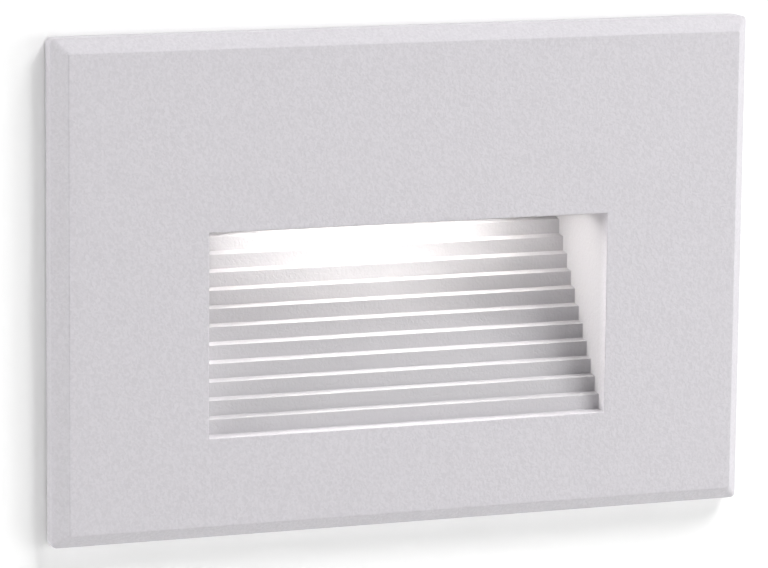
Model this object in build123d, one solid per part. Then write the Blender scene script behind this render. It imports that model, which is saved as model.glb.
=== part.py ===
"""Recessed LED step light on its wall-box bracket.

Frame: +X along the face plate, the front faces -Y, +Z up. The origin is the centre of the
face plate on the wall plane (Y = 0). Everything behind the wall plane fits a wall box that
lies on its side. Lengths are in millimetres.
"""

from build123d import *
import math
import os

# Face plate
plate_width = 127.0
plate_height = 86.4
plate_thickness = 5.5
plate_corner_radius = 0.9
face_corner_radius = 0.5
bevel_width = 2.4
bevel_depth = 2.65
face_wall = 2.2
rim_width = 3.6
rim_inner_radius = 1.5

# Foam strip in the rabbet of the plate's rear rim
strip_stand_off = 0.4
strip_thickness = 1.0
strip_width = 2.0
rabbet_lip = 1.4
strip_play = 0.1

# Aperture and the stepped recess behind it
aperture_width = 73.1
aperture_top = 9.8
aperture_bottom = -25.6
recess_depth = 23.13
back_wall_height = 3.97
step_count = 12
bottom_ledge_run = 2.45
ledge_fall = 0.3
recess_wall = 1.6

# Skirt of the casting, which passes into the wall box
skirt_wall = 1.4
skirt_corner_radius = 2.0
corner_boss_radius = 4.0
corner_boss_inset = 4.5
rib_thickness = 1.6
rib_height = 2.1
long_side_rib_x = 26.0
short_side_rib_z = 15.0

# Window above the recess
ceiling_wall = 1.5
window_front = 7.5
window_rear_margin = 2.63
window_half_width = 33.0
window_radius = 2.0
window_seat = 2.2
lens_thickness = 2.0
lens_gasket_thickness = 0.6
lens_play = 0.3

# Lamp stack above the window
frame_thickness = 2.3
frame_mouth_inset = 1.0
frame_waist_inset = 1.2
led_board_thickness = 1.6
led_board_width = 58.0
led_board_margin = 0.95
pad_thickness = 0.3
carrier_thickness = 2.2
carrier_leg_thickness = 1.6
carrier_play = 0.2
carrier_boss_x = 20.0
carrier_boss_width = 6.0
carrier_boss_length = 14.0
carrier_boss_height = 3.0
led_count = 3
led_pitch = 13.0
led_row_margin = 3.85
led_length = 3.5
led_width = 2.8
led_height = 0.75
led_well_length = 2.6
led_well_width = 2.0
led_well_depth = 0.35
led_board_screw_x = 24.5
lead_radius = 0.6
lead_x = 4.5
lead_pitch = 4.0
lead_notch_play = 0.3

# Driver board and what stands on it
board_stand_off = 3.0
driver_board_width = 57.0
driver_board_margin = 2.0
driver_board_thickness = 1.6
board_post_x = 24.5
board_post_radius = 2.4
board_post_drop = 0.3
board_post_lift = 6.0
capacitor_radius = 5.0
capacitor_height = 12.5
capacitor_at = (-14.5, -9.0)
inductor_half = 4.2
inductor_height = 5.0
inductor_at = (-1.0, -10.5)
film_size = (13.0, 5.5, 10.0)
film_edge = 0.4
film_at = (13.5, -13.5)
varistor_radius = 4.0
varistor_thickness = 3.4
varistor_lift = 1.5
leg_wire = 0.7
varistor_at = (19.5, 2.0)
resistor_radius = 1.9
resistor_length = 9.0
resistor_lift = 0.3
resistor_at = (10.5, 3.5)
bridge_size = (8.2, 6.4, 2.6)
bridge_at = (0.0, 4.0)
chip_size = (4.9, 3.9, 1.5)
chip_at = (-12.0, 6.0)
component_headroom = 2.1

# Rear cup
cup_wall = 1.4
cup_draft = 1.5
housing_gasket_thickness = 0.6
gasket_width = 1.3
cup_screw_seat = 4.0
notch_side = 7.6
sheet_thickness = 0.4
sheet_play = 0.5
grommet_x = 20.0
grommet_drop = 10.0
grommet_hole_radius = 3.2
grommet_wall = 1.4
grommet_flange = 1.6
grommet_flange_thickness = 1.5
grommet_play = 0.05
ground_screw_x = -20.0
ground_boss_radius = 4.2

# Bracket on the wall box
bracket_thickness = 1.2
bracket_width = 101.0
bracket_height = 63.0
bracket_corner_radius = 3.0
bracket_play = 0.35
box_screw_spacing = 83.34
box_slot_length = 7.0
box_slot_play = 0.35
leg_x = 45.0
leg_width = 10.0
tab_play = 0.7
tab_reach = 3.4
bend_radius = 0.9

# Screws: shank radius, shank length, head radius, head height
box_screw = (1.75, 19.0, 3.45, 2.0)
box_screw_neck_radius = 1.45
box_screw_neck_run = 0.3
cup_screw = (1.5, 10.0, 2.75, 1.9)
board_screw = (1.25, 5.0, 2.2, 1.6)
carrier_screw = (1.0, 8.0, 1.75, 1.4)
led_board_screw = (1.0, 3.2, 1.8, 1.2)
ground_screw_size = (2.0, 6.0, 3.6, 2.6)
set_screw_radius = 1.0
set_screw_length = 4.0
set_screw_gap = 0.05
socket_width = 0.9
socket_depth = 1.2
thread_play = 0.05
shank_play = 0.2

# Places that follow from the sizes above
front_y = -(strip_stand_off + plate_thickness)
rim_y = -strip_stand_off
pocket_y = front_y + face_wall
body_width = aperture_width + 2 * skirt_wall
rim_inner_x = plate_width / 2 - rim_width
rim_inner_z = plate_height / 2 - rim_width
recess_back_y = front_y + recess_depth
casting_back_y = recess_back_y + recess_wall + board_stand_off
step_rise = (aperture_top - back_wall_height - ledge_fall - aperture_bottom) / (step_count - 1)
step_run = (recess_depth - bottom_ledge_run) / (step_count - 1)
inner_half_width = aperture_width / 2

ceiling_z = aperture_top + ceiling_wall
lens_z = ceiling_z + lens_gasket_thickness
frame_z = lens_z + lens_thickness
led_board_z = frame_z + frame_thickness
pad_z = led_board_z + led_board_thickness
carrier_z = pad_z + pad_thickness
carrier_boss_z = carrier_z + carrier_thickness + carrier_play
inner_top = carrier_boss_z + carrier_boss_height
skirt_height = 2 * (inner_top + skirt_wall)
corner_boss_x = body_width / 2 - corner_boss_inset
corner_boss_z = skirt_height / 2 - corner_boss_inset
window_back = recess_depth - window_rear_margin
seat_front_y = front_y + window_front - window_seat
seat_back_y = front_y + window_back + window_seat
seat_middle_y = (seat_front_y + seat_back_y) / 2
seat_half_width = window_half_width + window_seat
led_board_front_y = seat_front_y + led_board_margin
led_board_back_y = seat_back_y - led_board_margin
led_board_depth = led_board_back_y - led_board_front_y
carrier_leg_y = recess_back_y + carrier_play
carrier_screw_z = inner_top - carrier_screw[2] - carrier_play
lead_z = led_board_z - lead_radius
lead_x_places = (lead_x, lead_x + lead_pitch)

board_post_top_z = ceiling_z - board_post_radius - board_post_drop
board_post_bottom_z = -inner_top + board_post_lift
board_posts = ((-board_post_x, board_post_top_z), (board_post_x, board_post_bottom_z))
driver_board_top = carrier_z + carrier_play
driver_board_bottom = -inner_top + driver_board_margin
driver_front_y = casting_back_y
driver_back_y = driver_front_y + driver_board_thickness
cup_front_y = casting_back_y + housing_gasket_thickness
cup_inner_y = driver_back_y + capacitor_height + component_headroom
cup_back_y = cup_inner_y + cup_wall
cup_seat_y = cup_front_y + cup_screw_seat
grommet_at = (grommet_x, inner_top - grommet_drop)
ground_screw_at = (ground_screw_x, inner_top - grommet_drop)

tab_z = rim_inner_z - tab_play
set_screw_y = (-strip_thickness + rim_y - plate_thickness + bevel_depth) / 2


def prism(outline, y_from, y_to):
    """An outline drawn as seen from the front, carried from one depth to another."""
    return extrude(Plane.XZ.offset(-y_from) * outline, amount=y_to - y_from, dir=(0, 1, 0))


def slab(outline, z_from, z_to):
    """An outline drawn as seen from above, carried from one height to another."""
    return extrude(Plane.XY.offset(z_from) * outline, amount=z_to - z_from)


def across(points, half_width):
    """A side outline of (Y, Z) points carried across the width."""
    outline = Plane.YZ * make_face(Polyline(*points, close=True))
    return extrude(outline, amount=half_width, both=True)


def drilled(x, z, radius, y_from, y_to):
    """A round bar along Y, used as a boss or to cut a hole."""
    return prism(Pos(x, z) * Circle(radius), y_from, y_to)


def corners(x, z):
    """The four places at plus and minus x and z."""
    return [(sx * x, sz * z) for sx in (-1, 1) for sz in (-1, 1)]


def ring(width, height, radius, wall, y_from, y_to):
    """A rectangular ring with round corners, its wall measured inwards."""
    outside = RectangleRounded(width, height, radius)
    inside = RectangleRounded(width - 2 * wall, height - 2 * wall, max(radius - wall, 0.3))
    return prism(outside - inside, y_from, y_to)


def slotted_screw(size, neck_radius, neck_length):
    """A slotted screw with a plain neck, its seat at the origin, the shank down and the head up."""
    shank_radius, length, head_radius, head_height = size
    body = slab(Circle(shank_radius), -length, -neck_length)
    body += slab(Circle(neck_radius), -neck_length, 0)
    body += slab(Circle(head_radius), 0, head_height)
    slot = Box(2 * head_radius + 1, head_radius * 0.26, head_height)
    return body - Pos(0, 0, head_height) * slot


def hexagon_screw(size):
    """A hexagon-head screw, its seat at the origin, the shank down and the head up."""
    shank_radius, length, head_radius, head_height = size
    return slab(RegularPolygon(head_radius, 6), 0, head_height) + slab(Circle(shank_radius), -length, 0)


def facing_back(shape, x, y, z):
    """Place a screw whose head looks to the rear (+Y) and whose shank points forward."""
    return Pos(x, y, z) * Rot(-90, 0, 0) * shape


def facing_front(shape, x, y, z):
    """Place a screw whose head looks to the front (-Y) and whose shank points back."""
    return Pos(x, y, z) * Rot(90, 0, 0) * shape


def group(pieces):
    """Several like pieces kept as separate solids of one node."""
    return Compound(children=[piece.solid() for piece in pieces])


# The casting


def ledge_nose(i):
    """Front edge of ledge i, counted from the bottom, as (Y, Z)."""
    run = 0 if i == 0 else bottom_ledge_run + step_run * (i - 1)
    return front_y + run, aperture_bottom + step_rise * i


def ledge_root(i):
    """Inner corner of ledge i, where the next riser starts, as (Y, Z)."""
    return front_y + bottom_ledge_run + step_run * i, aperture_bottom + step_rise * i + ledge_fall


def recess_void():
    """The open space in front of the steps: climbing ledges, a back wall and a flat ceiling."""
    steps = [place(i) for i in range(step_count) for place in (ledge_nose, ledge_root)]
    mouth = front_y - plate_thickness
    roof = [(recess_back_y, aperture_top), (mouth, aperture_top), (mouth, aperture_bottom)]
    return across(steps + roof, inner_half_width)


def recess_shell():
    """Solid stock around the recess, its underside parallel to the climb of the steps."""
    climb = math.hypot(step_run, step_rise)
    back = recess_wall * step_rise / climb
    down = recess_wall * step_run / climb
    low_y, low_z = ledge_root(0)
    high_y, high_z = ledge_root(step_count - 1)
    stock = [
        (front_y + face_wall / 2, low_z - down),
        (low_y + back, low_z - down),
        (high_y + back, high_z - down),
        (recess_back_y + recess_wall, high_z),
        (recess_back_y + recess_wall, frame_z),
        (seat_back_y + lens_play, frame_z),
        (seat_back_y + lens_play, ceiling_z),
        (front_y + face_wall / 2, ceiling_z),
    ]
    return across(stock, inner_half_width + skirt_wall / 2)


def plate_blank():
    """The plate with its bevelled edge, hollowed from behind to an even front wall."""
    side_front_y = front_y + bevel_depth
    outline = RectangleRounded(plate_width, plate_height, plate_corner_radius)
    blank = prism(outline, side_front_y, rim_y)
    foot = Plane.XZ.offset(-side_front_y) * outline
    face = RectangleRounded(
        plate_width - 2 * bevel_width, plate_height - 2 * bevel_width, face_corner_radius
    )
    blank += loft([foot, Plane.XZ.offset(-front_y) * face], ruled=True)
    pocket = RectangleRounded(2 * rim_inner_x, 2 * rim_inner_z, rim_inner_radius)
    blank -= prism(pocket, pocket_y, rim_y)
    lip = Rectangle(plate_width - 2 * rabbet_lip, plate_height - 2 * rabbet_lip)
    return blank - prism(lip, -strip_thickness, rim_y)


def faceplate():
    """Plate, skirt, stepped recess, window seat and bosses in one die casting."""
    casting = plate_blank()
    casting += ring(
        body_width, skirt_height, skirt_corner_radius, skirt_wall, pocket_y - face_wall / 2, casting_back_y
    )
    casting += recess_shell()
    for x, z in corners(corner_boss_x, corner_boss_z):
        casting += drilled(x, z, corner_boss_radius, pocket_y, casting_back_y)
    for x, z in board_posts:
        casting += drilled(x, z, board_post_radius, 0, casting_back_y)
    for x in (-carrier_boss_x, carrier_boss_x):
        boss = Pos(x, (carrier_boss_z + inner_top + skirt_wall / 2) / 2) * Rectangle(
            carrier_boss_width, inner_top + skirt_wall / 2 - carrier_boss_z
        )
        casting += prism(boss, carrier_leg_y - carrier_boss_length, carrier_leg_y)
    for side in (-1, 1):
        for x in (-long_side_rib_x, long_side_rib_x):
            rib_z = side * (skirt_height / 2 + rim_inner_z) / 2
            rib = Pos(x, rib_z) * Rectangle(rib_thickness, rim_inner_z - skirt_height / 2 + skirt_wall)
            casting += prism(rib, pocket_y - face_wall / 2, pocket_y + rib_height)
        for z in (-short_side_rib_z, short_side_rib_z):
            rib_x = side * (body_width / 2 + rim_inner_x) / 2
            rib = Pos(rib_x, z) * Rectangle(rim_inner_x - body_width / 2 + skirt_wall, rib_thickness)
            casting += prism(rib, pocket_y - face_wall / 2, pocket_y + rib_height)
    casting -= recess_void()
    window = Pos(0, front_y + (window_front + window_back) / 2) * RectangleRounded(
        2 * window_half_width, window_back - window_front, window_radius
    )
    casting -= slab(window, aperture_top - ceiling_wall / 2, ceiling_z + lens_gasket_thickness)
    for x, z in corners(corner_boss_x, corner_boss_z):
        depth = cup_screw[1] - cup_screw_seat
        casting -= drilled(x, z, cup_screw[0] + thread_play, casting_back_y - depth, casting_back_y)
    for x, z in board_posts:
        start_y = driver_back_y - board_screw[1]
        casting -= drilled(x, z, board_screw[0] + thread_play, start_y, casting_back_y)
    for x in (-carrier_boss_x, carrier_boss_x):
        start_y = carrier_leg_y + carrier_leg_thickness - carrier_screw[1]
        casting -= drilled(x, carrier_screw_z, carrier_screw[0] + thread_play, start_y, carrier_leg_y)
    for x in (-leg_x, leg_x):
        hole = Pos(x, set_screw_y) * Circle(set_screw_radius + thread_play)
        casting -= slab(hole, -plate_height / 2, -rim_inner_z)
    return casting


# Window, lamp board and its carrier


def seat_outline():
    """Outline of the window seat as seen from above."""
    size = (2 * seat_half_width, seat_back_y - seat_front_y)
    return Pos(0, seat_middle_y) * RectangleRounded(*size, window_radius)


def seat_opening(inset):
    """A plain opening drawn in from the window seat's outline."""
    size = (2 * (seat_half_width - inset), seat_back_y - seat_front_y - 2 * inset)
    return Pos(0, seat_middle_y) * Rectangle(*size)


def lens_gasket():
    """Flat silicone ring between the ceiling and the window."""
    return slab(seat_outline() - seat_opening(window_seat - lens_play), ceiling_z, lens_z)


def lens():
    """Flat tempered glass."""
    return slab(seat_outline(), lens_z, frame_z)


def lens_frame():
    """Moulded frame whose funnel narrows from the window to the lamp board."""
    frame = slab(seat_outline(), frame_z, led_board_z)
    mouth = Plane.XY.offset(frame_z) * seat_opening(window_seat + frame_mouth_inset)
    waist_width = led_board_width - 2 * (frame_waist_inset + frame_mouth_inset)
    waist_depth = led_board_depth - 2 * frame_waist_inset
    waist = Pos(0, seat_middle_y) * Rectangle(waist_width, waist_depth)
    frame -= loft([mouth, Plane.XY.offset(led_board_z) * waist], ruled=True)
    for x in lead_x_places:
        notch = Pos(x, seat_back_y) * Rectangle(
            2 * (lead_radius + lead_notch_play), 2 * (seat_back_y - seat_middle_y)
        )
        frame -= slab(notch, lead_z - lead_radius - lead_notch_play, led_board_z)
    return frame


def end_notches(z_from, z_to):
    """The notches for the two lamp board screws, open at the board's ends."""
    reach = led_board_width / 2 - led_board_screw_x
    width = 2 * (led_board_screw[0] + shank_play)
    notches = []
    for side in (-1, 1):
        middle_x = side * (led_board_screw_x + (reach - width / 2) / 2)
        outline = Pos(middle_x, seat_middle_y) * Rectangle(reach + width / 2, width)
        notches.append(slab(outline, z_from, z_to))
    return notches


def led_board():
    """Metal-core board notched at its ends for its screws, its lamps on the underside."""
    outline = Pos(0, seat_middle_y) * Rectangle(led_board_width, led_board_depth)
    return slab(outline, led_board_z, pad_z) - end_notches(led_board_z, pad_z)


def led_places():
    """Places of the lamps as (X, Y), a row nearer the board's rear edge."""
    row_y = led_board_back_y - led_row_margin
    return [(led_pitch * (i - (led_count - 1) / 2), row_y) for i in range(led_count)]


def led_packages():
    """Moulded lamp bodies, each with a well that opens downwards."""
    packages = []
    for x, y in led_places():
        outline = Pos(x, y) * Rectangle(led_length, led_width)
        body = slab(outline, led_board_z - led_height, led_board_z)
        well = Pos(x, y) * Rectangle(led_well_length, led_well_width)
        low_z = led_board_z - led_height
        packages.append(body - slab(well, low_z, low_z + led_well_depth))
    return group(packages)


def led_phosphors():
    """Yellow phosphor fill of each well."""
    low_z = led_board_z - led_height
    wells = [Pos(x, y) * Rectangle(led_well_length, led_well_width) for x, y in led_places()]
    return group([slab(well, low_z, low_z + led_well_depth) for well in wells])


def led_board_screws():
    """Two short screws, heads down, that hold the board and pad to the carrier."""
    turned = Rot(180, 0, 0) * hexagon_screw(led_board_screw)
    places = (-led_board_screw_x, led_board_screw_x)
    return group([Pos(x, seat_middle_y, led_board_z) * turned for x in places])


def thermal_pad():
    """Soft heat-conducting pad over the whole board."""
    outline = Pos(0, seat_middle_y) * Rectangle(led_board_width - 2, led_board_depth - 1)
    return slab(outline, pad_z, carrier_z) - end_notches(pad_z, carrier_z)


def led_carrier():
    """Aluminium angle: its flat carries the board, its rear leg is screwed to the casting."""
    back_y = carrier_leg_y + carrier_leg_thickness
    angle = [
        (led_board_front_y, carrier_z),
        (back_y, carrier_z),
        (back_y, inner_top - carrier_play),
        (carrier_leg_y, inner_top - carrier_play),
        (carrier_leg_y, carrier_z + carrier_thickness),
        (led_board_front_y, carrier_z + carrier_thickness),
    ]
    carrier = across(angle, led_board_width / 2)
    for x in (-led_board_screw_x, led_board_screw_x):
        hole = Pos(x, seat_middle_y) * Circle(led_board_screw[0] + thread_play)
        carrier -= slab(hole, carrier_z, carrier_z + carrier_thickness)
    for x in (-carrier_boss_x, carrier_boss_x):
        carrier -= drilled(x, carrier_screw_z, carrier_screw[0] + shank_play, carrier_leg_y, back_y)
    return carrier


def carrier_screws():
    """Two screws through the carrier's rear leg."""
    head = hexagon_screw(carrier_screw)
    back_y = carrier_leg_y + carrier_leg_thickness
    places = (-carrier_boss_x, carrier_boss_x)
    return group([facing_back(head, x, back_y, carrier_screw_z) for x in places])


def jumper_leads():
    """Two stiff leads from the lamp board's rear edge into the driver board."""
    start_y = led_board_back_y - 2 * lead_radius - 1.0
    end_y = driver_back_y + lead_radius
    return group([drilled(x, lead_z, lead_radius, start_y, end_y) for x in lead_x_places])


# Driver board


def driver_board():
    """Glass-fibre board with its screw holes and the opening for the two leads."""
    middle_z = (driver_board_top + driver_board_bottom) / 2
    height = driver_board_top - driver_board_bottom
    outline = Pos(0, middle_z) * Rectangle(driver_board_width, height)
    board = prism(outline, driver_front_y, driver_back_y)
    for x, z in board_posts:
        board -= drilled(x, z, board_screw[0] + shank_play, driver_front_y, driver_back_y)
    opening = Pos(lead_x + lead_pitch / 2, lead_z) * Rectangle(
        lead_pitch + 2 * (lead_radius + thread_play), 2 * (lead_radius + thread_play)
    )
    return board - prism(opening, driver_front_y, driver_back_y)


def board_screws():
    """Two screws from behind into the casting's posts."""
    head = hexagon_screw(board_screw)
    return group([facing_back(head, x, driver_back_y, z) for x, z in board_posts])


def on_board(shape, at):
    """Stand a component, built upwards from the origin, on the board's rear side."""
    return Pos(at[0], driver_back_y, at[1]) * Rot(-90, 0, 0) * shape


def bulk_capacitor():
    """Aluminium can in its sleeve."""
    return on_board(slab(Circle(capacitor_radius), 0, capacitor_height), capacitor_at)


def power_inductor():
    """Shielded inductor: a square ferrite body with cut corners."""
    body = slab(Rectangle(2 * inductor_half, 2 * inductor_half), 0, inductor_height)
    return on_board(chamfer(body.edges().filter_by(Axis.Z), inductor_half * 0.3), inductor_at)


def film_capacitor():
    """Boxed film capacitor with its upper edges cut."""
    width, depth, height = film_size
    box = slab(Rectangle(width, depth), 0, height)
    return on_board(chamfer(box.faces().sort_by(Axis.Z)[-1].edges(), film_edge), film_at)


def varistor():
    """Disc varistor standing on its two short legs."""
    disc = Plane.YZ * Pos(0, varistor_radius + varistor_lift) * Circle(varistor_radius)
    body = extrude(disc, amount=varistor_thickness / 2, both=True)
    for y in (-varistor_radius / 2, varistor_radius / 2):
        body += Pos(0, y, varistor_radius / 2) * Box(leg_wire, leg_wire, varistor_radius)
    return on_board(body, varistor_at)


def fusible_resistor():
    """Lying resistor with two bent legs."""
    lift = resistor_radius + resistor_lift
    reach = resistor_length / 2 + leg_wire * 2
    body = Pos(0, 0, lift) * Rot(90, 0, 0) * Cylinder(resistor_radius, resistor_length)
    body += Pos(0, 0, lift) * Box(leg_wire, 2 * reach, leg_wire)
    for y in (-reach, reach):
        body += Pos(0, y, (lift + leg_wire / 2) / 2) * Box(leg_wire, leg_wire, lift + leg_wire / 2)
    return on_board(body, resistor_at)


def legged_package(size, legs_per_side, leg_width):
    """Moulded package lifted off the board on two rows of bent legs."""
    length, width, height = size
    lift = 0.15
    body = Pos(0, 0, lift + (height - lift) / 2) * Box(length, width, height - lift)
    body = chamfer(body.edges().filter_by(Axis.Z), 0.25)
    pitch = length / legs_per_side
    foot = 0.9
    thickness = 0.25
    for i in range(legs_per_side):
        x = pitch * (i - (legs_per_side - 1) / 2)
        for side in (-1, 1):
            shoulder = Pos(x, side * (width / 2 + foot / 4), height / 2)
            body += shoulder * Box(leg_width, foot / 2 + 0.4, thickness)
            drop = Pos(x, side * (width / 2 + foot / 2), (height + thickness) / 4)
            body += drop * Box(leg_width, thickness, (height + thickness) / 2)
            toe = Pos(x, side * (width / 2 + foot * 0.8), thickness / 2)
            body += toe * Box(leg_width, foot * 0.9, thickness)
    return body


def bridge_rectifier():
    """Four-legged rectifier package."""
    return on_board(legged_package(bridge_size, 2, 1.1), bridge_at)


def driver_chip():
    """Eight-legged driver chip."""
    return on_board(legged_package(chip_size, 4, 0.45), chip_at)


# Rear cup


def housing_gasket():
    """Flat seal along the skirt's end, outside the screws."""
    return ring(
        body_width, skirt_height, skirt_corner_radius, gasket_width, casting_back_y, cup_front_y
    )


def cup_outline(inset, radius=0.0):
    """Outline of the cup as seen from the front, drawn in by the inset."""
    size = (body_width - 2 * inset, skirt_height - 2 * inset)
    return RectangleRounded(*size, radius) if radius else Rectangle(*size)


def corner_block(x, z, side, y_from, y_to):
    """A square block in one corner of the body, its sides that long."""
    centre_x = math.copysign(body_width / 2 - side / 2, x)
    centre_z = math.copysign(skirt_height / 2 - side / 2, z)
    return prism(Pos(centre_x, centre_z) * Rectangle(side, side), y_from, y_to)


def rear_housing():
    """Drafted cast cup, its corners notched down to four screw lugs, with a lead hole."""
    front = Plane.XZ.offset(-cup_front_y)
    rear = Plane.XZ.offset(-cup_back_y)
    floor = Plane.XZ.offset(-cup_inner_y)
    draw = (cup_back_y - cup_front_y) * math.tan(math.radians(cup_draft))
    mouth = front * cup_outline(0, skirt_corner_radius)
    cup = loft([mouth, rear * cup_outline(draw, skirt_corner_radius)], ruled=True)
    cup -= loft([front * cup_outline(cup_wall), floor * cup_outline(cup_wall + draw)], ruled=True)
    for x, z in corners(corner_boss_x, corner_boss_z):
        block = corner_block(x, z, notch_side + cup_wall, cup_front_y, cup_back_y)
        cup += block & prism(cup_outline(cup_wall / 2), cup_front_y, cup_seat_y)
        cup += block & prism(cup_outline(cup_wall + draw), cup_front_y, cup_back_y)
        cup -= corner_block(x, z, notch_side, cup_seat_y, cup_back_y)
        cup -= drilled(x, z, cup_screw[0] + shank_play, cup_front_y, cup_seat_y)
    cup += drilled(*ground_screw_at, ground_boss_radius, cup_inner_y - ground_screw_size[1], cup_back_y)
    hole_radius = ground_screw_size[0] + thread_play
    cup -= drilled(*ground_screw_at, hole_radius, cup_back_y - ground_screw_size[1], cup_back_y)
    lead_hole_radius = grommet_hole_radius + grommet_wall + grommet_play
    cup -= drilled(*grommet_at, lead_hole_radius, cup_inner_y, cup_back_y)
    return cup


def housing_screws():
    """Four screws on the cup's corner lugs."""
    head = hexagon_screw(cup_screw)
    places = corners(corner_boss_x, corner_boss_z)
    return group([facing_back(head, x, cup_seat_y, z) for x, z in places])


def insulating_sheet():
    """Thin sheet against the cup's rear wall, cleared round the earth boss and the grommet."""
    width = body_width - 2 * (notch_side + cup_wall + sheet_play)
    height = skirt_height - 2 * cup_wall - 4 * sheet_play
    sheet = prism(Rectangle(width, height), cup_inner_y - sheet_thickness, cup_inner_y)
    flange = grommet_hole_radius + grommet_wall + grommet_flange + sheet_play
    for (x, z), half in ((grommet_at, flange), (ground_screw_at, ground_boss_radius + sheet_play)):
        opening = Pos(x, z) * Rectangle(2 * half, 2 * half)
        sheet -= prism(opening, cup_inner_y - sheet_thickness, cup_inner_y)
    return sheet


def lead_grommet():
    """Rubber grommet: a sleeve with a flange on each side of the cup's rear wall."""
    inner = grommet_hole_radius
    neck = inner + grommet_wall
    flange = neck + grommet_flange
    half = cup_wall / 2
    face = half + grommet_flange_thickness
    outline = Polyline(
        (inner, -face),
        (flange, -face),
        (flange, -half),
        (neck, -half),
        (neck, half),
        (flange, half),
        (flange, face),
        (inner, face),
        close=True,
    )
    sleeve = revolve(Plane.XZ * make_face(outline), Axis.Z)
    return Pos(grommet_at[0], (cup_inner_y + cup_back_y) / 2, grommet_at[1]) * Rot(-90, 0, 0) * sleeve


def ground_screw():
    """Hexagon-head earth screw on the cup's rear."""
    return facing_back(hexagon_screw(ground_screw_size), ground_screw_at[0], cup_back_y, ground_screw_at[1])


# Wall side


def wall_gasket():
    """Foam strip in the rim's rabbet; its rear face lies on the wall."""
    inset = rabbet_lip + strip_play
    width = plate_width - 2 * inset
    height = plate_height - 2 * inset
    outside = Rectangle(width, height)
    inside = RectangleRounded(width - 2 * strip_width, height - 2 * strip_width, rim_inner_radius)
    return prism(outside - inside, -strip_thickness, 0)


def bracket_legs():
    """Four legs that end in tabs bent towards the plate."""
    outer_bend = bend_radius + bracket_thickness
    side = [
        (0, 0),
        (0, tab_z - outer_bend),
        (-tab_reach, tab_z),
        (-tab_reach, tab_z - bracket_thickness),
        (-bracket_thickness, tab_z - outer_bend),
        (-bracket_thickness, 0),
    ]
    bend_centre = (-outer_bend, tab_z - outer_bend)
    diagonal = math.sqrt(0.5)
    outer_mid = (bend_centre[0] + outer_bend * diagonal, bend_centre[1] + outer_bend * diagonal)
    inner_mid = (bend_centre[0] + bend_radius * diagonal, bend_centre[1] + bend_radius * diagonal)
    outline = [
        Line(side[0], side[1]),
        ThreePointArc(side[1], outer_mid, (-outer_bend, tab_z)),
        Polyline((-outer_bend, tab_z), side[2], side[3], (-outer_bend, side[3][1])),
        ThreePointArc((-outer_bend, side[3][1]), inner_mid, side[4]),
        Polyline(side[4], side[5], side[0]),
    ]
    profile = Plane.YZ * make_face(outline)
    leg = extrude(profile, amount=leg_width / 2, both=True)
    upper = [Pos(x, 0, 0) * leg for x in (-leg_x, leg_x)]
    return upper + [mirror(piece, about=Plane.XY) for piece in upper]


def mounting_bracket():
    """Pressed steel frame round the skirt, with slots for the box screws and four legs."""
    outside = RectangleRounded(bracket_width, bracket_height, bracket_corner_radius)
    opening = RectangleRounded(
        body_width + 2 * bracket_play,
        skirt_height + 2 * bracket_play,
        skirt_corner_radius + bracket_play,
    )
    bracket = prism(outside, -bracket_thickness, 0)
    for leg in bracket_legs():
        bracket += leg
    bracket -= prism(opening, -bracket_thickness, 0)
    for x in (-box_screw_spacing / 2, box_screw_spacing / 2):
        slot = SlotOverall(box_slot_length, 2 * (box_screw[0] + box_slot_play), rotation=90)
        bracket -= prism(Pos(x, 0) * slot, -bracket_thickness, 0)
    return bracket


def box_screws():
    """Two screws, undercut below the head, through the bracket's slots into the wall box."""
    neck_length = bracket_thickness + box_screw_neck_run
    necked = slotted_screw(box_screw, box_screw_neck_radius, neck_length)
    places = (-box_screw_spacing / 2, box_screw_spacing / 2)
    return group([facing_front(necked, x, -bracket_thickness, 0) for x in places])


def retaining_screw(x):
    """Flat-point set screw in the plate's lower edge, its tip on the bracket's lower tab."""
    tip_z = -tab_z - set_screw_gap
    foot_z = tip_z - set_screw_length
    body = slab(Circle(set_screw_radius), 0, set_screw_length)
    body -= slab(RegularPolygon(socket_width / math.sqrt(3), 6), 0, socket_depth)
    return Pos(x, set_screw_y, foot_z) * body


nodes = {
    "faceplate": faceplate(),
    "lens_gasket": lens_gasket(),
    "lens": lens(),
    "lens_frame": lens_frame(),
    "led_board": led_board(),
    "led_packages": led_packages(),
    "led_phosphors": led_phosphors(),
    "led_board_screws": led_board_screws(),
    "thermal_pad": thermal_pad(),
    "led_carrier": led_carrier(),
    "carrier_screws": carrier_screws(),
    "jumper_leads": jumper_leads(),
    "driver_board": driver_board(),
    "board_screws": board_screws(),
    "bulk_capacitor": bulk_capacitor(),
    "power_inductor": power_inductor(),
    "film_capacitor": film_capacitor(),
    "varistor": varistor(),
    "fusible_resistor": fusible_resistor(),
    "bridge_rectifier": bridge_rectifier(),
    "driver_chip": driver_chip(),
    "housing_gasket": housing_gasket(),
    "rear_housing": rear_housing(),
    "housing_screws": housing_screws(),
    "insulating_sheet": insulating_sheet(),
    "lead_grommet": lead_grommet(),
    "ground_screw": ground_screw(),
    "wall_gasket": wall_gasket(),
    "mounting_bracket": mounting_bracket(),
    "box_screws": box_screws(),
    "retaining_screw_left": retaining_screw(-leg_x),
    "retaining_screw_right": retaining_screw(leg_x),
}

os.makedirs("parts", exist_ok=True)
for name, shape in nodes.items():
    export_step(shape, f"parts/{name}.step")
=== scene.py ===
"""Looks of the recessed step light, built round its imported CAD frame.

Lengths are in metres, and in millimetres where a value is multiplied by MM.
"""

import bpy
import numpy as np
from mathutils import Matrix, Vector


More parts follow.
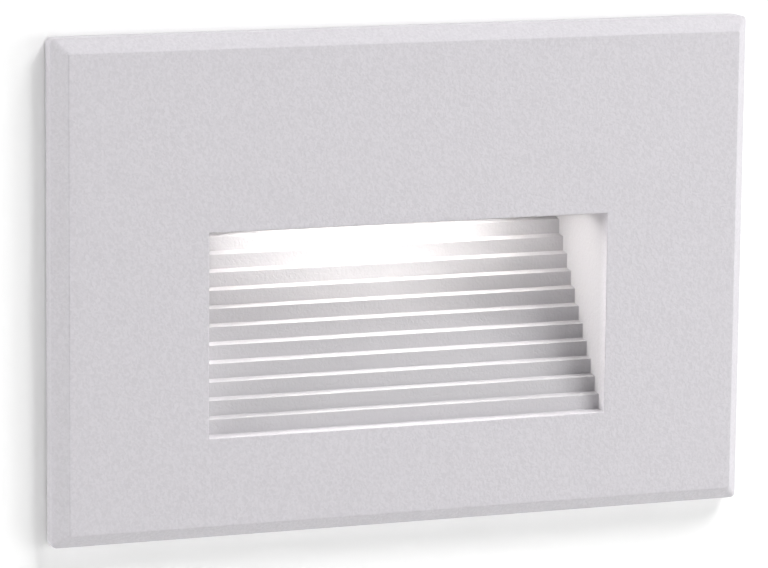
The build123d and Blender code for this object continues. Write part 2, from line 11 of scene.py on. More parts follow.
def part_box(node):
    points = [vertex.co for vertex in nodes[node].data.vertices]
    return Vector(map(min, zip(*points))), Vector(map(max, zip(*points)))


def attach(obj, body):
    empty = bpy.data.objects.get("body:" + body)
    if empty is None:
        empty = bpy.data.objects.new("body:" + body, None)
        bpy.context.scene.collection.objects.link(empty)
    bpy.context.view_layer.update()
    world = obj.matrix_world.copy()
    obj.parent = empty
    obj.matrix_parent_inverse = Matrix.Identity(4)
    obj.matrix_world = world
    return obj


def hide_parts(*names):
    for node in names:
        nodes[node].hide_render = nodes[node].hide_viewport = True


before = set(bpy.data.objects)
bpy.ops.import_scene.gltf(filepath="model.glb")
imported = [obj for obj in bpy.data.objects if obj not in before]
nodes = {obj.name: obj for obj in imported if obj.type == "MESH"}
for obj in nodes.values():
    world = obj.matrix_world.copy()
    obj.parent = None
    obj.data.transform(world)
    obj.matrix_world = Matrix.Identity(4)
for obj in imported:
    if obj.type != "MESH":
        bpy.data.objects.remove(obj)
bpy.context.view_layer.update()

MM = 0.001


# Camera. Solved from the plate's corners and the ledges' ends in the photograph: yaw, pitch and
# roll about a target on the plate, then a distance. The lens is the focal length in pixels over
# the picture's 768, on a 36 mm sensor.
YAW, PITCH, ROLL = -0.3673377, 0.1712518, 0.0098165
TARGET = np.array([-2.897, -0.4, -1.561]) * MM
DISTANCE, FARTHEST = 760.99 * MM, 20
FOCAL_PIXELS, PICTURE_PIXELS, SENSOR = 4415.56, 768, 36.0

back = np.array([np.sin(YAW) * np.cos(PITCH), -np.cos(YAW) * np.cos(PITCH), np.sin(PITCH)])
level_right = np.array([np.cos(YAW), np.sin(YAW), 0.0])
level_up = np.cross(back, level_right)
right = np.cos(ROLL) * level_right + np.sin(ROLL) * level_up
up = np.cos(ROLL) * level_up - np.sin(ROLL) * level_right
camera_data = bpy.data.cameras.new("camera")
camera_data.lens = FOCAL_PIXELS / PICTURE_PIXELS * SENSOR
camera_data.sensor_width = SENSOR
camera_data.clip_end = FARTHEST
camera = bpy.data.objects.new("camera", camera_data)
turn = Matrix(np.array([right, up, back]).T.tolist()).to_4x4()
camera.matrix_world = Matrix.Translation(Vector(TARGET + back * DISTANCE)) @ turn
bpy.context.collection.objects.link(camera)
bpy.context.scene.camera = camera
bpy.context.scene.view_settings.view_transform = "Standard"


# Stage: a matt white wall on the wall plane, open where the wall box would be, and a pale floor
# well below. A camera behind the wall sees through it. The strip that the plate hides also lets
# light through, to the plate's rear. A glow that adds no light to the object keeps both pale.
WALL_Y, FLOOR_HALF, FLOOR_Z = 0.05 * MM, 9.0, -0.6
WALL_HALVES, HIDDEN_HALVES = (1.5, 1.5), (61.0 * MM, 40.7 * MM)
OPENING_HALVES = 47.0 * MM, 28.0 * MM
WALL_COLOUR, WALL_GLOW = "#f7f7f7", 0.17
FLOOR_COLOUR, FLOOR_GLOW = "#e7e7e6", 0.85


def linear(code):
    """An sRGB hex colour as linear red, green, blue and alpha."""
    parts = np.array([int(code[i:i + 2], 16) for i in (1, 3, 5)]) / 255
    curved = ((parts + 0.055) / 1.055) ** 2.4
    return (*np.where(parts <= 0.04045, parts / 12.92, curved).tolist(), 1.0)


def add(holder, kind, settings=None, **inputs):
    """Adds one node. An input is named, or _ and its number, and takes a value, socket or node."""
    node = holder.node_tree.nodes.new("ShaderNode" + kind)
    for key, value in (settings or {}).items():
        setattr(node, key, value)
    for key, value in inputs.items():
        socket = node.inputs[int(key[1:]) if key[1:].isdigit() else key.replace("_", " ")]
        if isinstance(value, bpy.types.Node):
            value = value.outputs[0]
        if isinstance(value, bpy.types.NodeSocket):
            holder.node_tree.links.new(value, socket)
        else:
            socket.default_value = value
    return node


def new_material(name):
    """A material with an empty tree."""
    material = bpy.data.materials.new(name)
    material.use_nodes = True
    material.node_tree.nodes.clear()
    return material


def mesh_object(name, points, faces, material, smooth_below=0):
    """An object at the origin, its place in its mesh, smooth where it turns by fewer degrees."""
    mesh = bpy.data.meshes.new(name)
    mesh.from_pydata(np.asarray(points).tolist(), [], faces)
    mesh.polygons.foreach_set("use_smooth", np.full(len(mesh.polygons), smooth_below > 0))
    mesh.set_sharp_from_angle(angle=np.radians(smooth_below))
    mesh.materials.append(material)
    piece = bpy.data.objects.new(name, mesh)
    bpy.context.collection.objects.link(piece)
    return piece


def seen_rays(holder):
    """1 for a ray from the camera, off gloss or through glass, and 0 for light on the object."""
    rays = add(holder, "LightPath").outputs
    glossy, through = rays["Is Glossy Ray"], rays["Is Transmission Ray"]
    reflected = add(holder, "Math", {"operation": "MAXIMUM"}, _0=glossy, _1=through)
    return add(holder, "Math", {"operation": "MAXIMUM"}, _0=rays["Is Camera Ray"], _1=reflected)


def stage_paint(name, colour, glow, clear_of_light=False):
    """A matt paint with its glow, clear to a camera behind it and, where asked, to lamp light."""
    paint = new_material(name)
    level = add(paint, "Math", {"operation": "MULTIPLY"}, _0=seen_rays(paint), _1=glow)
    matt = add(paint, "BsdfDiffuse", Color=linear(colour))
    lit = add(paint, "AddShader", _0=matt, _1=add(paint, "Emission", Strength=level))
    rays = add(paint, "LightPath").outputs
    behind = add(paint, "NewGeometry").outputs["Backfacing"]
    clear = add(paint, "Math", {"operation": "MULTIPLY"}, _0=rays["Is Camera Ray"], _1=behind)
    if clear_of_light:
        shadow = rays["Is Shadow Ray"]
        clear = add(paint, "Math", {"operation": "MAXIMUM"}, _0=clear, _1=shadow)
    shown = add(paint, "MixShader", _0=clear, _1=lit, _2=add(paint, "BsdfTransparent"))
    add(paint, "OutputMaterial", Surface=shown)
    return paint


corners = np.array([(-1, -1), (1, -1), (1, 1), (-1, 1)])


def wall_ring(name, outer, inner, paint):
    """The part of the wall between two rectangles, each given by its half width and half height."""
    rims = np.concatenate([corners * outer, corners * inner])
    points = np.column_stack([rims[:, 0], np.full(len(rims), WALL_Y), rims[:, 1]])
    sides = np.arange(len(corners))
    after = np.roll(sides, -1)
    faces = np.column_stack([sides, after, after + len(corners), sides + len(corners)])
    return mesh_object(name, points, faces.tolist(), paint)


wall_paint = stage_paint("wall_paint_matt_white", WALL_COLOUR, WALL_GLOW)
hidden_paint = stage_paint("wall_paint_behind_plate", WALL_COLOUR, WALL_GLOW, clear_of_light=True)
floor_paint = stage_paint("floor_paint_pale", FLOOR_COLOUR, FLOOR_GLOW)
floor_points = np.column_stack([corners * FLOOR_HALF, np.full(len(corners), FLOOR_Z)])
floor = mesh_object("floor", floor_points, [(0, 1, 2, 3)], floor_paint)
wall_ring("wall", WALL_HALVES, HIDDEN_HALVES, wall_paint)
wall_ring("wall_behind_plate", HIDDEN_HALVES, OPENING_HALVES, hidden_paint)


# Light: a low even world that looks white to the camera, to gloss and through glass, two soft keys
# at the right, a broad one above them, a side light along the wall from the left, and a pair behind
# the wall for the rear. Lamps: azimuth, elevation, width and height in metres, and watts.
WORLD_COLOUR, WORLD_LEVEL, WORLD_SEEN, LAMP_DISTANCE = "#ffffff", 0.03, 1.0, 1.8
STUDIO_LAMPS = {
    "key_near": (38, 0, 0.5, 0.8, 3.5),
    "key_far": (58, 0, 0.5, 0.8, 9.8),
    "top": (40, 50, 0.8, 0.6, 24.6),
    "side": (-88, 10, 1.0, 0.8, 29.0),
    "rear_left": (-140, 18, 1.0, 1.0, 9.0),
    "rear_right": (145, 12, 1.0, 1.0, 6.0),
}

world = bpy.data.worlds.new("studio")
world.use_nodes = True
world.node_tree.nodes.clear()
bpy.context.scene.world = world
level = add(world, "MapRange", Value=seen_rays(world), To_Min=WORLD_LEVEL, To_Max=WORLD_SEEN)
sky = add(world, "Background", Color=linear(WORLD_COLOUR), Strength=level)
add(world, "OutputWorld", Surface=sky)


def area_lamp(name, place, aim, size, watts, colour="#ffffff"):
    """A rectangular lamp at a place, turned to shine on the point it aims at."""
    data = bpy.data.lights.new(name, "AREA")
    data.shape = "RECTANGLE"
    data.size, data.size_y = size
    data.energy, data.color = watts, linear(colour)[:3]
    lamp = bpy.data.objects.new(name, data)
    lamp.location = place
    lamp.rotation_euler = (Vector(aim) - Vector(place)).to_track_quat("-Z", "Y").to_euler()
    bpy.context.collection.objects.link(lamp)
    return lamp


for name, (azimuth, elevation, width, height, watts) in STUDIO_LAMPS.items():
    a, e = np.radians((azimuth, elevation))
    direction = np.array([np.sin(a) * np.cos(e), -np.cos(a) * np.cos(e), np.sin(e)])
    area_lamp(name, (LAMP_DISTANCE * direction).tolist(), (0, 0, 0), (width, height), watts)


# Cast plate with its stepped recess: die-cast aluminium under a satin light grey powder coat. The
# coat's sandy skin is a net of fine worm-like ridges, and its grit glints here and there. Inside
# the recess its colour is painted a little darker as painted shade, and it rounds every edge, less
# in the recess.
COAT, COAT_HOLLOW, COAT_RECESS_PAINTED_SHADE = "#d3d0d5", "#cbc8cd", "#c3c1c4"
GRAIN, GRAIN_DEPTH, GRAIN_DETAIL, GRAIN_TWIST = 0.55 * MM, 0.024 * MM, 0.5, 0.8
GRIT, GRIT_SHARE, SKIN_LOW, SKIN_HIGH = 0.3 * MM, 0.12, 0.36, 0.76
COAT_MATT, COAT_GLINT, COAT_EDGE, RECESS_EDGE = 0.62, 0.42, 0.3 * MM, 0.08 * MM
RECESS_HALVES, RECESS_FROM, RECESS_TO = {"X": 37 * MM, "Z": 26.5 * MM}, -5.6 * MM, -3.0 * MM
# A noise keeps mostly between these two values. A Mix node of colours takes them at its inputs 6
# and 7, and gives the result at its output 2.
NOISE_SPAN = {"From_Min": 0.3, "From_Max": 0.7}
COLOURS, MIXED, EDGE_SAMPLES = {"data_type": "RGBA"}, 2, {"samples": 4}


def dress(slot_name, material):
    """Puts a material on every CAD node that takes the record's slot."""
    for piece in nodes.values():
        for spot, held in enumerate(piece.data.materials):
            if held and held.name.split(".")[0] == slot_name:
                piece.data.materials[spot] = material


coat = new_material("powder_coat_satin_light_grey")
place = add(coat, "TexCoord").outputs["Object"]
axes = add(coat, "SeparateXYZ", Vector=place).outputs
inside = add(coat, "MapRange", Value=axes["Y"], From_Min=RECESS_FROM, From_Max=RECESS_TO)
for axis, half in RECESS_HALVES.items():
    from_middle = add(coat, "Math", {"operation": "ABSOLUTE"}, _0=axes[axis])
    within = add(coat, "Math", {"operation": "LESS_THAN"}, _0=from_middle, _1=half)
    inside = add(coat, "Math", {"operation": "MULTIPLY"}, _0=inside, _1=within)
worms = add(
    coat, "TexNoise",
    Vector=place, Scale=1 / GRAIN, Detail=GRAIN_DETAIL, Distortion=GRAIN_TWIST,
)
grit = add(coat, "TexNoise", Vector=place, Scale=1 / GRIT, Detail=0.0)
skin = add(coat, "Math", {"operation": "MULTIPLY_ADD"}, _0=grit, _1=GRIT_SHARE, _2=worms)
height = add(coat, "MapRange", Value=skin, From_Min=SKIN_LOW, From_Max=SKIN_HIGH)
speckled = add(coat, "Mix", COLOURS, _0=height, _6=linear(COAT_HOLLOW), _7=linear(COAT))
# Painted shade: inside the recess the coat's colour is mixed towards a darker grey, standing for
# shade there.
recess_shaded = add(coat, "Mix", COLOURS, _0=inside, _6=speckled.outputs[MIXED], _7=linear(COAT_RECESS_PAINTED_SHADE))
edge = add(coat, "MapRange", Value=inside, To_Min=COAT_EDGE, To_Max=RECESS_EDGE)
rounded = add(coat, "Bevel", EDGE_SAMPLES, Radius=edge)
shader = add(
    coat, "BsdfPrincipled",
    Base_Color=recess_shaded.outputs[MIXED],
    Roughness=add(
        coat, "MapRange", Value=grit, **NOISE_SPAN, To_Min=COAT_MATT, To_Max=COAT_GLINT
    ),
    Normal=add(coat, "Bump", Height=height, Distance=GRAIN_DEPTH, Normal=rounded),
)
add(coat, "OutputMaterial", Surface=shader)
dress("powder_coated_casting", coat)


# Window: clear tempered glass, cut to size and pressed on its seal by the white frame. A shadow
# ray passes it unbent, so that the lamp behind it lights the steps.
GLASS_COLOUR, GLASS_ROUGHNESS, GLASS_IOR = "#ffffff", 0.02, 1.5

glass = new_material("tempered_glass_clear")
pane = add(
    glass, "BsdfPrincipled",
    Base_Color=linear(GLASS_COLOUR),
    Roughness=GLASS_ROUGHNESS,
    Transmission_Weight=1.0,
    IOR=GLASS_IOR,
)
shadow = add(glass, "LightPath").outputs["Is Shadow Ray"]
shown = add(glass, "MixShader", _0=shadow, _1=pane, _2=add(glass, "BsdfTransparent"))
add(glass, "OutputMaterial", Surface=shown)
dress("clear_glass", glass)


# Parts round the window and under the lamps: silicone seals, the moulded frame, the white board,
# its soft pad, the aluminium angle and the leads. Each is left as it was moulded, printed or cut,
# and a skin too fine to show is drawn as coarse as it needs to show.
FINISH_DETAIL, LUMPS_PER_CLOUD, ROUGHNESS_SPREAD = 2.0, 12, 0.05


def plain_finish(slot_name, name, low, high, lump, depth, roughness, **settings):
    """A finish between two colours in faint clouds, its skin raised in lumps. The lumps' size and
    depth are in mm, and their roughness runs a little to either side of the one given."""
    material = new_material(name)
    place = add(material, "TexCoord").outputs["Object"]
    cloud = 1 / (LUMPS_PER_CLOUD * lump * MM)
    clouds = add(material, "TexNoise", Vector=place, Scale=cloud, Detail=FINISH_DETAIL)
    lumps = add(material, "TexNoise", Vector=place, Scale=1 / (lump * MM), Detail=FINISH_DETAIL)
    share = add(material, "MapRange", Value=clouds, **NOISE_SPAN)
    colour = add(material, "Mix", COLOURS, _0=share, _6=linear(low), _7=linear(high))
    ends = {"To_Min": roughness + ROUGHNESS_SPREAD, "To_Max": roughness - ROUGHNESS_SPREAD}
    shader = add(
        material, "BsdfPrincipled",
        Base_Color=colour.outputs[MIXED],
        Roughness=add(material, "MapRange", Value=lumps, **NOISE_SPAN, **ends),
        Normal=add(material, "Bump", Height=lumps, Distance=depth * MM),
        **settings,
    )
    add(material, "OutputMaterial", Surface=shader)
    dress(slot_name, material)
    return material


plain_finish("silicone_seal", "silicone_rubber_grey", "#878a8c", "#95989a", 0.5, 0.006, 0.55)
plain_finish(
    "white_moulding", "polycarbonate_moulded_white", "#ebebe7", "#f3f3f0", 0.6, 0.004, 0.4
)
plain_finish(
    "white_metal_core_board", "solder_mask_white", "#e6e7e4", "#f0f1ee", 0.4, 0.003, 0.3
)
plain_finish("thermal_pad", "thermal_pad_soft_grey", "#78828f", "#8893a0", 0.7, 0.01, 0.7)
plain_finish(
    "bare_aluminium", "aluminium_mill_finish", "#b2b4b6", "#c4c6c8", 0.3, 0.003, 0.36,
    Metallic=1.0,
)
plain_finish("lead_insulation", "silicone_lead_white", "#dcd9d0", "#e8e5dd", 0.3, 0.003, 0.5)


# Lamps: three white moulded bodies, each with its fill of yellow phosphor, which glows. The steps
# are lit from a rectangle just below the row, and from strips under the window that stand for what
# the white frame's front and rear walls scatter. Strips: y, width and depth in mm, and watts.
PHOSPHOR_LIGHT, PHOSPHOR_GLOW, LAMP_LIGHT, ROW_WATTS = "#fff3dd", 12.0, "#fffdf8", 0.0040
LAMP_DROP = 0.1 * MM
STRIPS = (14, 50, 1, 0.0060), (4, 66, 2, 0.0066), (4, 20, 2, 0.0022)

plain_finish("lamp_body", "lamp_body_moulded_white", "#eae9e4", "#f4f3ef", 0.3, 0.003, 0.45)
plain_finish(
    "phosphor", "phosphor_in_silicone", "#e6c548", "#f2d868", 0.15, 0.004, 0.35,
    Emission_Color=linear(PHOSPHOR_LIGHT),
    Emission_Strength=PHOSPHOR_GLOW,
)
low, high = (np.array(corner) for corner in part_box("led_phosphors"))
x, y = (low + high)[:2] / 2
row_place, row_size = (x, y, low[2] - LAMP_DROP), (high - low)[:2].tolist()
lamps = [area_lamp("lamp_row", row_place, (x, y, 0), row_size, ROW_WATTS, LAMP_LIGHT)]
strip_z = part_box("lens_gasket")[0].z - LAMP_DROP
for y, width, depth, watts in STRIPS:
    place, below, size = (0, y * MM, strip_z), (0, y * MM, 0), (width * MM, depth * MM)
    lamps.append(area_lamp("window_strip", place, below, size, watts, LAMP_LIGHT))
for lamp in lamps:
    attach(lamp, "light_unit")


# Driver: a green glass-fibre board and its parts, out of sight in the cup. Sleeves are shrunk film,
# packages are moulded epoxy, the varistor is dipped, and the sheet behind them is milky film.
plain_finish("green_circuit_board", "solder_mask_green", "#1b5735", "#246a45", 0.8, 0.008, 0.33)
plain_finish("capacitor_sleeve", "shrink_sleeve_black", "#1b1c20", "#26272c", 0.5, 0.003, 0.35)
plain_finish("ferrite_and_winding", "ferrite_dark_grey", "#29292b", "#373739", 0.25, 0.01, 0.6)
plain_finish(
    "film_capacitor_box", "film_capacitor_yellow", "#c7a22a", "#d4b13c", 0.5, 0.003, 0.45
)
plain_finish("varistor_coating", "epoxy_dip_blue", "#204d7a", "#2b5e90", 0.8, 0.012, 0.3)
plain_finish(
    "resistor_coating", "cement_coat_grey_green", "#7b8e7f", "#8c9e90", 0.35, 0.01, 0.62
)
plain_finish("black_package", "epoxy_package_black", "#1a1a1b", "#272728", 0.15, 0.005, 0.55)
plain_finish("insulating_sheet", "insulating_film_milky", "#d5d3c9", "#e0ded5", 1.5, 0.004, 0.4)


# Rear cup: an aluminium die casting, blasted and left bare, screwed on from behind. Grit leaves a
# fine even grain, drawn about twice as coarse as it is so that it shows, and the metal that cooled
# first shows as broad, faint clouds.
CAST_DARK, CAST_LIGHT, CAST_METALLIC = "#b2b4b6", "#bfc1c3", 0.7
CAST_MATT, CAST_SHEEN, CAST_EDGE = 0.64, 0.44, 0.25 * MM
BLAST_GRAIN, BLAST_DEPTH, BLAST_ROUGHNESS = 0.4 * MM, 0.03 * MM, 0.65
CLOUD, CLOUD_TWIST, CAST_DETAIL = 11 * MM, 0.4, 3.0

casting = new_material("aluminium_die_casting_blasted")
place = add(casting, "TexCoord").outputs["Object"]
blast = add(
    casting, "TexNoise",
    Vector=place, Scale=1 / BLAST_GRAIN, Detail=CAST_DETAIL, Roughness=BLAST_ROUGHNESS,
)
cloud = add(
    casting, "TexNoise",
    Vector=place, Scale=1 / CLOUD, Detail=CAST_DETAIL, Distortion=CLOUD_TWIST,
)
share = add(casting, "MapRange", Value=cloud, **NOISE_SPAN)
colour = add(casting, "Mix", COLOURS, _0=share, _6=linear(CAST_DARK), _7=linear(CAST_LIGHT))
rounded = add(casting, "Bevel", EDGE_SAMPLES, Radius=CAST_EDGE)
shader = add(
    casting, "BsdfPrincipled",
    Base_Color=colour.outputs[MIXED],
    Metallic=CAST_METALLIC,
    Roughness=add(
        casting, "MapRange", Value=blast, **NOISE_SPAN, To_Min=CAST_MATT, To_Max=CAST_SHEEN
    ),
    Normal=add(casting, "Bump", Height=blast, Distance=BLAST_DEPTH, Normal=rounded),
)
add(casting, "OutputMaterial", Surface=shader)
dress("bare_die_casting", casting)


# Lead grommet and wall strip: matt black moulded rubber, and charcoal closed-cell foam cut from
# sheet, whose cut cells show as fine pits.
FOAM_PIT, FOAM_SKIN, FOAM_ROUGHNESS = "#1c1d1f", "#3b3c3e", 0.9
CELL, CELL_DEPTH, CELL_SPAN = 0.5 * MM, 0.12 * MM, {"From_Min": 0.1, "From_Max": 0.6}

plain_finish("black_rubber", "rubber_matt_black", "#18181a", "#232324", 0.6, 0.008, 0.65)
foam = new_material("foam_closed_cell_charcoal")
place = add(foam, "TexCoord").outputs["Object"]
cells = add(foam, "TexVoronoi", Vector=place, Scale=1 / CELL)
share = add(foam, "MapRange", Value=cells, **CELL_SPAN)
colour = add(foam, "Mix", COLOURS, _0=share, _6=linear(FOAM_PIT), _7=linear(FOAM_SKIN))
shader = add(
    foam, "BsdfPrincipled",
    Base_Color=colour.outputs[MIXED],
    Roughness=FOAM_ROUGHNESS,
    Normal=add(foam, "Bump", Height=cells, Distance=CELL_DEPTH),
)
add(foam, "OutputMaterial", Surface=shader)
dress("foam_strip", foam)


# Bracket: pressed from hot-dip galvanised sheet steel. Each crystal of the zinc has its own grey
# and its own gloss, and the pressed edges are slightly rounded.
ZINC_DARK, ZINC_LIGHT, ZINC_METALLIC = "#a3a8ac", "#c2c7ca", 0.95
ZINC_GLOSS, ZINC_MATT, SHEET_EDGE = 0.32, 0.5, 0.15 * MM
SPANGLE, SPANGLE_STEP, WANDER, WANDER_DETAIL = 4.5 * MM, 0.01 * MM, 1.2 * MM, 2.0

zinc = new_material("sheet_steel_galvanised")
place = add(zinc, "TexCoord").outputs["Object"]
drift = add(zinc, "TexNoise", Vector=place, Scale=1 / SPANGLE, Detail=WANDER_DETAIL)
moved = add(
    zinc, "VectorMath", {"operation": "MULTIPLY_ADD"},
    _0=drift.outputs["Color"], _1=(WANDER, WANDER, WANDER), _2=place,
)
crystals = add(zinc, "TexVoronoi", Vector=moved, Scale=1 / SPANGLE)
shade = add(zinc, "SeparateColor", _0=crystals.outputs["Color"])
colour = add(zinc, "Mix", COLOURS, _0=shade, _6=linear(ZINC_DARK), _7=linear(ZINC_LIGHT))
rounded = add(zinc, "Bevel", EDGE_SAMPLES, Radius=SHEET_EDGE)
shader = add(
    zinc, "BsdfPrincipled",
    Base_Color=colour.outputs[MIXED],
    Metallic=ZINC_METALLIC,
    Roughness=add(zinc, "MapRange", Value=shade, To_Min=ZINC_GLOSS, To_Max=ZINC_MATT),
    Normal=add(zinc, "Bump", Height=shade, Distance=SPANGLE_STEP, Normal=rounded),
)
add(zinc, "OutputMaterial", Surface=shader)
dress("galvanised_steel", zinc)


# Screws of the cup: four chamfered hexagon heads with rolled threads, zinc-plated, on its lugs. The
# same turned rings make the green earth screw. Sizes in mm match the plain screws in the frame.
CUP_SCREW = {"radius": 1.5, "pitch": 0.5, "length": 10.0, "corner_radius": 2.75, "head_height": 1.9}
EARTH_SCREW = {"radius": 2.0, "pitch": 0.7, "length": 6.0, "corner_radius": 3.6, "head_height": 2.6}
HEXAGON_CORNERS, COLUMNS, ROWS_PER_TURN, SMOOTH_BELOW = 6, 36, 10, 35
# The thread's depth is a share of its pitch, and each of its flats a share of half its wave.
THREAD_DEPTH, THREAD_FLAT = 0.61, 0.16
CHAMFER_SLOPE, CHAMFER_TOP, CHAMFER_ROWS = np.tan(np.radians(30)), 0.96, 5
TURN = np.linspace(0, 2 * np.pi, COLUMNS, endpoint=False)

plated = plain_finish(
    "zinc_plated_steel", "zinc_plating_bright", "#b4b9be", "#c8ccd0", 0.25, 0.002, 0.28,
    Metallic=1.0,
)
green = plain_finish(
    "green_screw", "steel_dyed_green", "#1c6438", "#287d4a", 0.25, 0.002, 0.35, Metallic=0.3
)


def hexagon(corner_radius):
    """Radius of a hexagon at each angle: its flats' distance over the cosine of the angle from the
    middle of the flat."""
    sixth = 2 * np.pi / HEXAGON_CORNERS
    return corner_radius * np.cos(sixth / 2) / np.cos(TURN % sixth - sixth / 2)


def rings(radii, heights):
    """Rows of radii round the turn, one row at each height."""
    heights = np.reshape(np.asarray(heights, float), (-1, 1))
    shape = len(heights), COLUMNS
    return np.broadcast_to(radii, shape), np.broadcast_to(heights, shape)


def thread(radius, pitch, low, high, point_up=False):
    """Rings of a threaded shank. The radius is the root radius plus the thread depth times a
    clipped triangle wave of (height / pitch - angle / full turn), cut by a cone at a free end."""
    depth = THREAD_DEPTH * pitch
    heights = np.linspace(low, high, int((high - low) / pitch * ROWS_PER_TURN) + 2)[:, None]
    wave = 1 - np.abs(2 * ((heights / pitch - TURN / (2 * np.pi)) % 1) - 1)
    crest = np.clip((wave - THREAD_FLAT) / (1 - 2 * THREAD_FLAT), 0, 1)
    from_end = np.minimum(heights - low, high - heights) if point_up else heights - low
    return rings(np.minimum(radius - depth + depth * crest, radius - depth + from_end), heights)


def ring_shell(*sets):
    """Points and outward faces of the closed shell that runs through sets of rings in order. A
    point lies at its ring's radius times the cosine and sine of its angle, at its ring's height."""
    radii, heights = (np.concatenate(rows) for rows in zip(*sets))
    points = np.stack([radii * np.cos(TURN), radii * np.sin(TURN), heights], axis=-1)
    points = points.reshape(-1, 3)
    starts = np.arange(len(radii) - 1) * COLUMNS
    row, column = np.meshgrid(starts, np.arange(COLUMNS), indexing="ij")
    here, after = row + column, row + (column + 1) % COLUMNS
    sides = np.stack([here, after, after + COLUMNS, here + COLUMNS], axis=-1).reshape(-1, 4)
    first_cap = list(range(COLUMNS))[::-1]
    last_cap = list(range(len(points) - COLUMNS, len(points)))
    return points, sides.tolist() + [first_cap, last_cap]


def joined(shells):
    """Several shells as one list of points and one of faces."""
    starts = np.cumsum([0] + [len(points) for points, _ in shells]).tolist()
    faces = []
    for start, (_, shell_faces) in zip(starts, shells):
        faces += [[start + i for i in face] for face in shell_faces]
    return np.concatenate([points for points, _ in shells]), faces


def seated(shell, seat, facing):
    """A screw's shell, its seat on a point in mm, its head to the rear (1) or the front (-1)."""
    points, faces = shell
    turned = np.column_stack([points[:, 0], facing * points[:, 2], -facing * points[:, 1]])
    return (turned + seat) * MM, faces


def hexagon_screw(radius, pitch, length, corner_radius, head_height):
    """A thread and a hexagon head, its radius the lesser of the hexagon and the chamfer's cone."""
    outline = hexagon(corner_radius)
    top_radius = corner_radius * np.cos(np.pi / HEXAGON_CORNERS) * CHAMFER_TOP
    cone_foot = head_height - (corner_radius - top_radius) * CHAMFER_SLOPE
    heights = np.linspace(cone_foot, head_height, CHAMFER_ROWS)
    cone = (top_radius + (head_height - heights) / CHAMFER_SLOPE)[:, None]
    head = rings(np.minimum(outline, cone), heights)
    return ring_shell(thread(radius, pitch, -length, 0), rings(outline, 0), head)


def box_in_mm(node):
    """Lowest corner, highest corner and middle of a CAD node's box."""
    low, high = (np.array(corner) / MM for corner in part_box(node))
    return low, high, (low + high) / 2


def put_in_place(piece, node, body):
    """Shows the piece in the node's place, on the node's body."""
    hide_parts(node)
    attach(piece, body)


low, high, middle = box_in_mm("housing_screws")
half_head = CUP_SCREW["corner_radius"] * np.array([1, np.cos(np.pi / HEXAGON_CORNERS)])
reach = (high - low)[[0, 2]] / 2 - half_head
seat_y = high[1] - CUP_SCREW["head_height"]
cup_screw = hexagon_screw(**CUP_SCREW)
placed = [seated(cup_screw, (x, seat_y, z), 1) for x, z in corners * reach + middle[[0, 2]]]
cup_screws = mesh_object("cup_screws", *joined(placed), plated, SMOOTH_BELOW)
put_in_place(cup_screws, "housing_screws", "light_unit")

low, high, middle = box_in_mm("ground_screw")
seat = middle[0], high[1] - EARTH_SCREW["head_height"], middle[2]
placed = seated(hexagon_screw(**EARTH_SCREW), seat, 1)
earth_screw = mesh_object("earth_screw", *placed, green, SMOOTH_BELOW)
put_in_place(earth_screw, "ground_screw", "light_unit")


# Screws of the wall box: slotted pan heads, plain necks and long threads, zinc-plated. They hold
# the bracket, so they stay on the wall when the light comes off. Sizes in mm.
BOX_SCREW_RADIUS, BOX_SCREW_PITCH, BOX_SCREW_LENGTH = 1.75, 0.794, 19.0
NECK_RADIUS, NECK_LENGTH, NECK_INTO_HEAD = 1.45, 1.5, 0.5
HEAD_RADIUS, HEAD_HEIGHT, RIM_SHARE, HEAD_STEPS = 3.45, 2.0, 0.62, 24
SLOT_HALF, SLOT_DRAFT, SLOT_DEPTH = 0.45, 0.03, 1.0


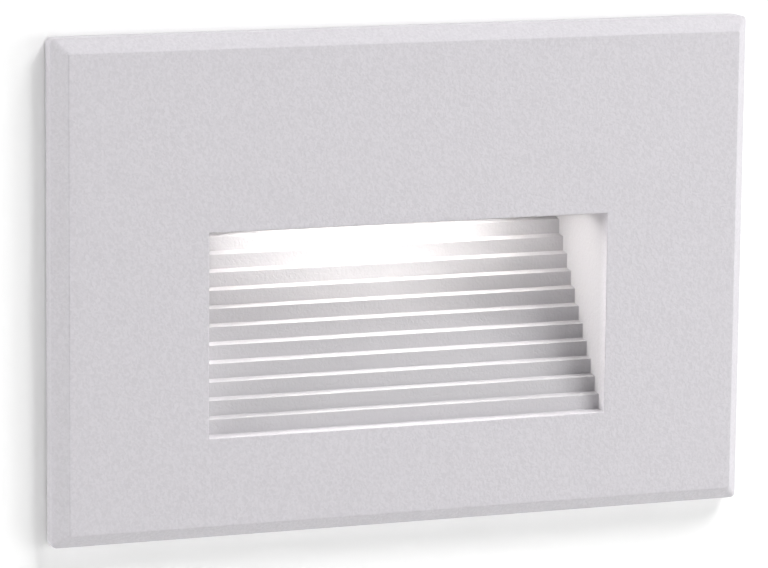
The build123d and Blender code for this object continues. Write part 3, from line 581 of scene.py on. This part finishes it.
def slotted_head():
    """A pan head as columns across its slot, each running over the circle's chord. Its height is a
    dome, falling with the fourth power of the distance from the middle, or the slot's floor."""
    across = -np.cos((np.arange(HEAD_STEPS) + 0.5) * np.pi / HEAD_STEPS) * HEAD_RADIUS
    walls = [-SLOT_HALF, SLOT_DRAFT - SLOT_HALF, SLOT_HALF - SLOT_DRAFT, SLOT_HALF]
    x = np.sort(np.concatenate([across[np.abs(across) > SLOT_HALF], walls]))[:, None]
    y = np.sqrt(HEAD_RADIUS ** 2 - x ** 2) * np.linspace(-1, 1, HEAD_STEPS)
    x = np.broadcast_to(x, y.shape)
    dome = HEAD_HEIGHT * (1 - (1 - RIM_SHARE) * ((x ** 2 + y ** 2) / HEAD_RADIUS ** 2) ** 2)
    top = np.where(np.abs(x) < SLOT_HALF, HEAD_HEIGHT - SLOT_DEPTH, dome)
    upper = np.stack([x, y, top], axis=-1).reshape(-1, 3)
    index = np.arange(y.size).reshape(y.shape)
    quads = np.stack([index[:-1, :-1], index[1:, :-1], index[1:, 1:], index[:-1, 1:]], axis=-1)
    quads = quads.reshape(-1, 4)
    rim = np.concatenate([index[:, 0], index[-1, 1:], index[-2::-1, -1], index[0, -2:0:-1]])
    after = np.roll(rim, -1)
    sides = np.stack([rim, rim + y.size, after + y.size, after], axis=-1)
    faces = np.concatenate([quads, quads[:, ::-1] + y.size, sides])
    return np.concatenate([upper, upper * (1, 1, 0)]), faces.tolist()


low, high, middle = box_in_mm("box_screws")
shank = ring_shell(
    thread(BOX_SCREW_RADIUS, BOX_SCREW_PITCH, -BOX_SCREW_LENGTH, -NECK_LENGTH),
    rings(NECK_RADIUS, [-NECK_LENGTH, NECK_INTO_HEAD]),
)
box_screw = joined([shank, slotted_head()])
seat_y, ends = low[1] + HEAD_HEIGHT, (low[0] + HEAD_RADIUS, high[0] - HEAD_RADIUS)
placed = [seated(box_screw, (x, seat_y, middle[2]), -1) for x in ends]
wall_box_screws = mesh_object("wall_box_screws", *joined(placed), plated, SMOOTH_BELOW)
put_in_place(wall_box_screws, "box_screws", "bracket")


# Set screws in the plate's lower edge: plain stainless steel, threaded from end to end, with a
# flat point above and a hexagon socket below. Each turns down, clear of the bracket. Sizes in mm.
SET_SCREW_RADIUS, SET_SCREW_PITCH, SET_SCREW_LENGTH = 1.0, 0.4, 4.0
SOCKET_FLATS, SOCKET_DEPTH = 0.9, 1.2

stainless = plain_finish(
    "stainless_set_screw", "stainless_plain", "#8e8f91", "#a3a4a6", 0.25, 0.002, 0.32,
    Metallic=1.0,
)
socket = hexagon(SOCKET_FLATS / 2 / np.cos(np.pi / HEXAGON_CORNERS))
points, faces = ring_shell(
    rings(socket, [SOCKET_DEPTH, 0]),
    thread(SET_SCREW_RADIUS, SET_SCREW_PITCH, 0, SET_SCREW_LENGTH, point_up=True),
)
for side in ("left", "right"):
    node = f"retaining_screw_{side}"
    low, high, middle = box_in_mm(node)
    placed = (points + (middle[0], middle[1], low[2])) * MM
    set_screw = mesh_object(f"set_screw_{side}", placed, faces, stainless, SMOOTH_BELOW)
    put_in_place(set_screw, node, node)
